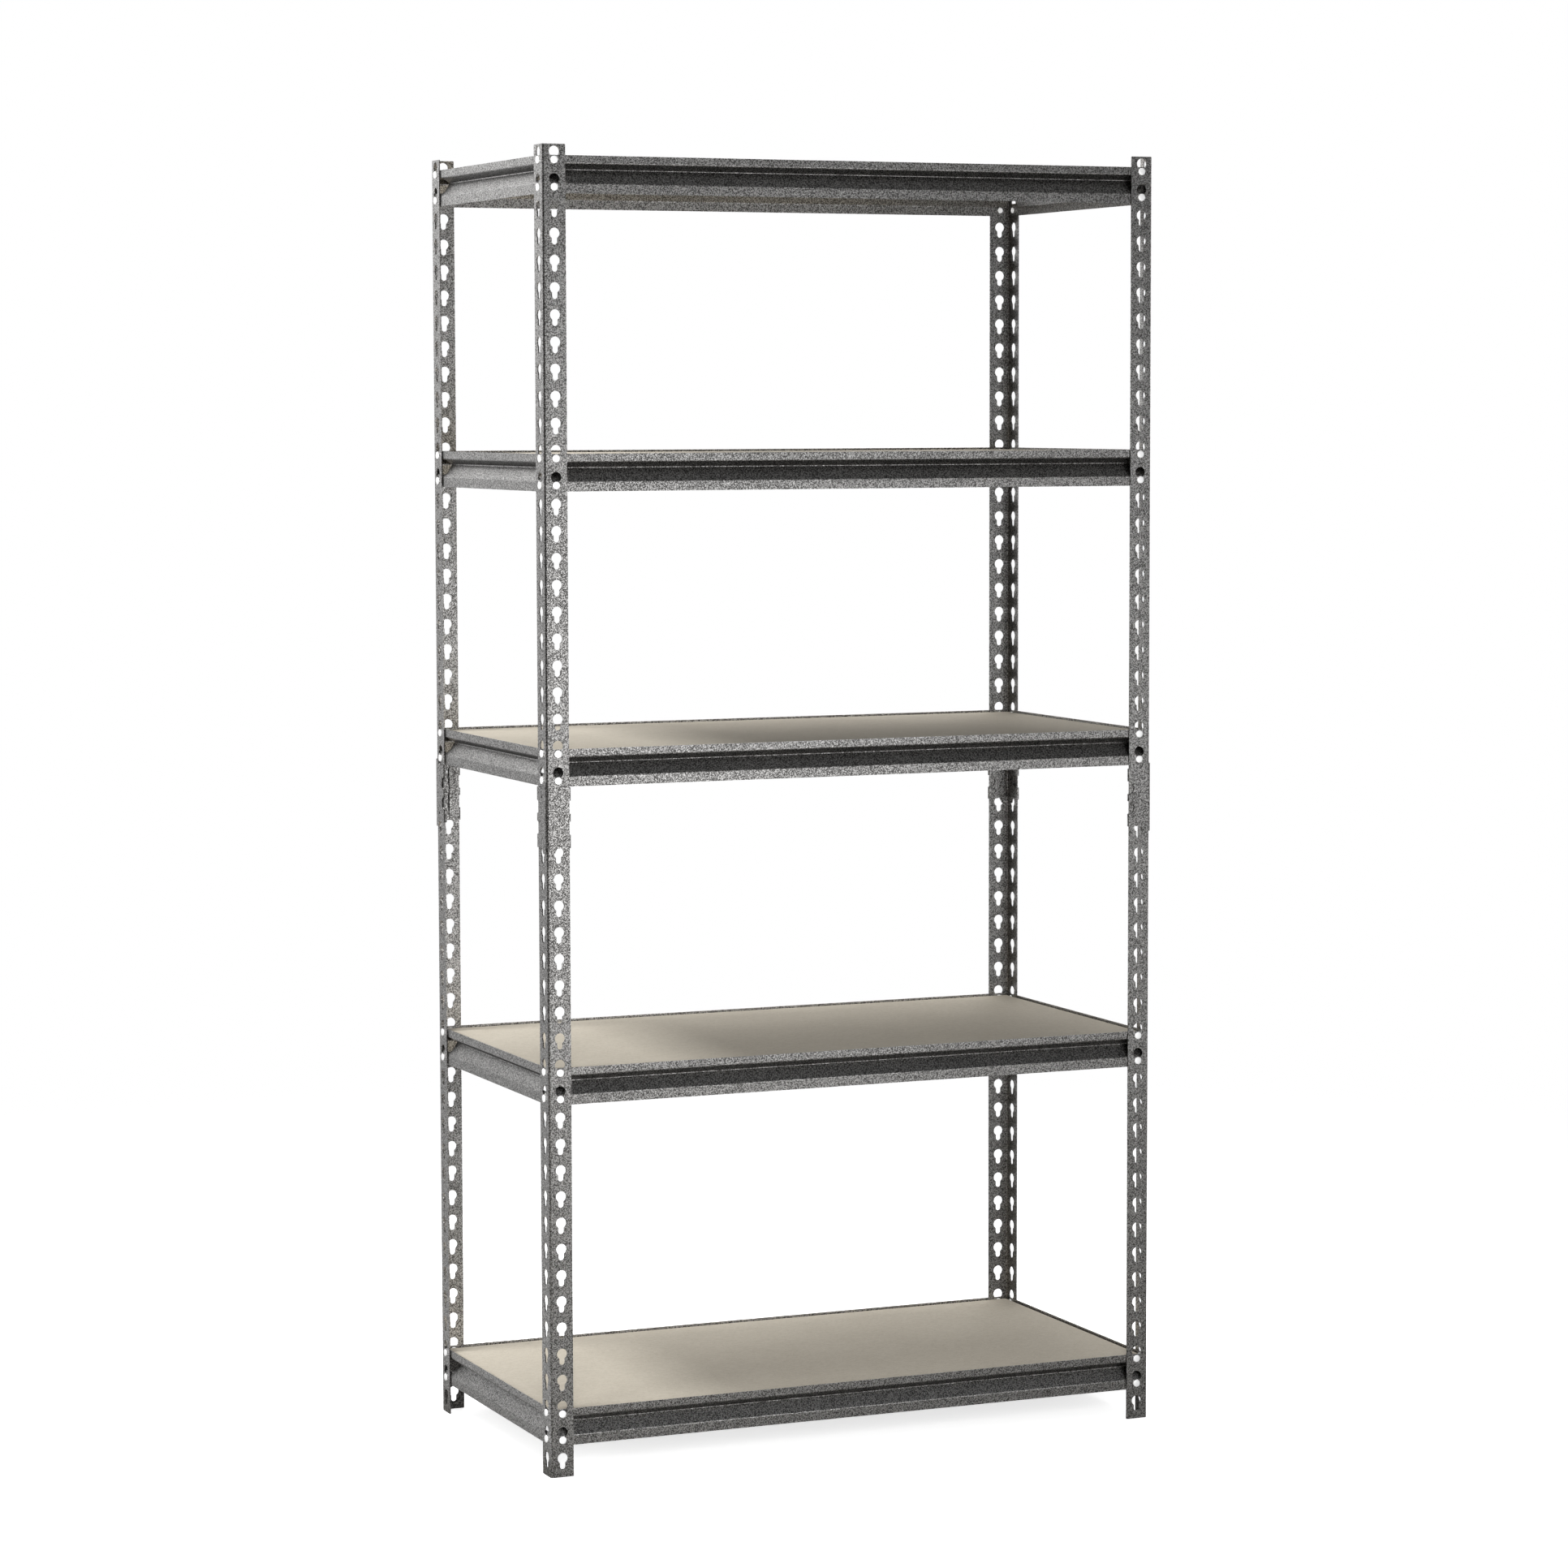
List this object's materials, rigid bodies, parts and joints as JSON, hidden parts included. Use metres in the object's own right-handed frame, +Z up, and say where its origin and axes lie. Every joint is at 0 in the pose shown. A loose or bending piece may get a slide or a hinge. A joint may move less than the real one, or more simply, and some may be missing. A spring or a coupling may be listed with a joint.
{
  "type": "boltless rivet shelving unit",
  "caption": "Free-standing boltless steel shelving: keyhole angle posts, riveted beams and loose particle-board decks for storage.",
  "frame": {"origin": "on the floor under the middle of the unit", "axes": "+X along the width, -Y out of the long front side, +Z up along the posts"},
  "size_m": [0.9296, 0.467, 1.825],
  "materials": {
    "silver_vein_paint": "silver-vein hammertone powder coat: dark base with fine worm-like silver veins, semi-gloss",
    "particle_board": "bare sanded particle board, matt, beige with fine chips, square edges",
    "zinc_rivet": "bright zinc-plated domed rivet head"
  },
  "bodies": {
    "posts": {"post_lower_front_left": "silver_vein_paint", "post_upper_front_left": "silver_vein_paint", "post_lower_front_right": "silver_vein_paint", "post_upper_front_right": "silver_vein_paint", "post_lower_rear_left": "silver_vein_paint", "post_upper_rear_left": "silver_vein_paint", "post_lower_rear_right": "silver_vein_paint", "post_upper_rear_right": "silver_vein_paint", "post_coupler_front_left": "silver_vein_paint", "post_coupler_front_right": "silver_vein_paint", "post_coupler_rear_left": "silver_vein_paint", "post_coupler_rear_right": "silver_vein_paint"},
    "frame_top": {"beam_front_top": "silver_vein_paint", "beam_rear_top": "silver_vein_paint", "beam_left_top": "silver_vein_paint", "beam_right_top": "silver_vein_paint"},
    "board_top": {"shelf_board_top": "particle_board"},
    "frame_upper": {"beam_front_upper": "silver_vein_paint", "beam_rear_upper": "silver_vein_paint", "beam_left_upper": "silver_vein_paint", "beam_right_upper": "silver_vein_paint"},
    "board_upper": {"shelf_board_upper": "particle_board"},
    "frame_middle": {"beam_front_middle": "silver_vein_paint", "beam_rear_middle": "silver_vein_paint", "beam_left_middle": "silver_vein_paint", "beam_right_middle": "silver_vein_paint"},
    "board_middle": {"shelf_board_middle": "particle_board"},
    "frame_lower": {"beam_front_lower": "silver_vein_paint", "beam_rear_lower": "silver_vein_paint", "beam_left_lower": "silver_vein_paint", "beam_right_lower": "silver_vein_paint"},
    "board_lower": {"shelf_board_lower": "particle_board"},
    "frame_bottom": {"beam_front_bottom": "silver_vein_paint", "beam_rear_bottom": "silver_vein_paint", "beam_left_bottom": "silver_vein_paint", "beam_right_bottom": "silver_vein_paint"},
    "board_bottom": {"shelf_board_bottom": "particle_board"}
  },
  "joints": [
    {"name": "frame_top_release", "type": "slide", "parent": "posts", "child": "frame_top", "axis": [0, 0, 1], "range_m": [0, 0.011]},
    {"name": "board_top_lift", "type": "slide", "parent": "frame_top", "child": "board_top", "axis": [0, 0, 1], "range_m": [0, 0.3]},
    {"name": "frame_upper_release", "type": "slide", "parent": "posts", "child": "frame_upper", "axis": [0, 0, 1], "range_m": [0, 0.011]},
    {"name": "board_upper_lift", "type": "slide", "parent": "frame_upper", "child": "board_upper", "axis": [0, 0, 1], "range_m": [0, 0.339]},
    {"name": "frame_middle_release", "type": "slide", "parent": "posts", "child": "frame_middle", "axis": [0, 0, 1], "range_m": [0, 0.011]},
    {"name": "board_middle_lift", "type": "slide", "parent": "frame_middle", "child": "board_middle", "axis": [0, 0, 1], "range_m": [0, 0.339]},
    {"name": "frame_lower_release", "type": "slide", "parent": "posts", "child": "frame_lower", "axis": [0, 0, 1], "range_m": [0, 0.011]},
    {"name": "board_lower_lift", "type": "slide", "parent": "frame_lower", "child": "board_lower", "axis": [0, 0, 1], "range_m": [0, 0.375]},
    {"name": "frame_bottom_release", "type": "slide", "parent": "posts", "child": "frame_bottom", "axis": [0, 0, 1], "range_m": [0, 0.011]},
    {"name": "board_bottom_lift", "type": "slide", "parent": "frame_bottom", "child": "board_bottom", "axis": [0, 0, 1], "range_m": [0, 0.412]}
  ]
}
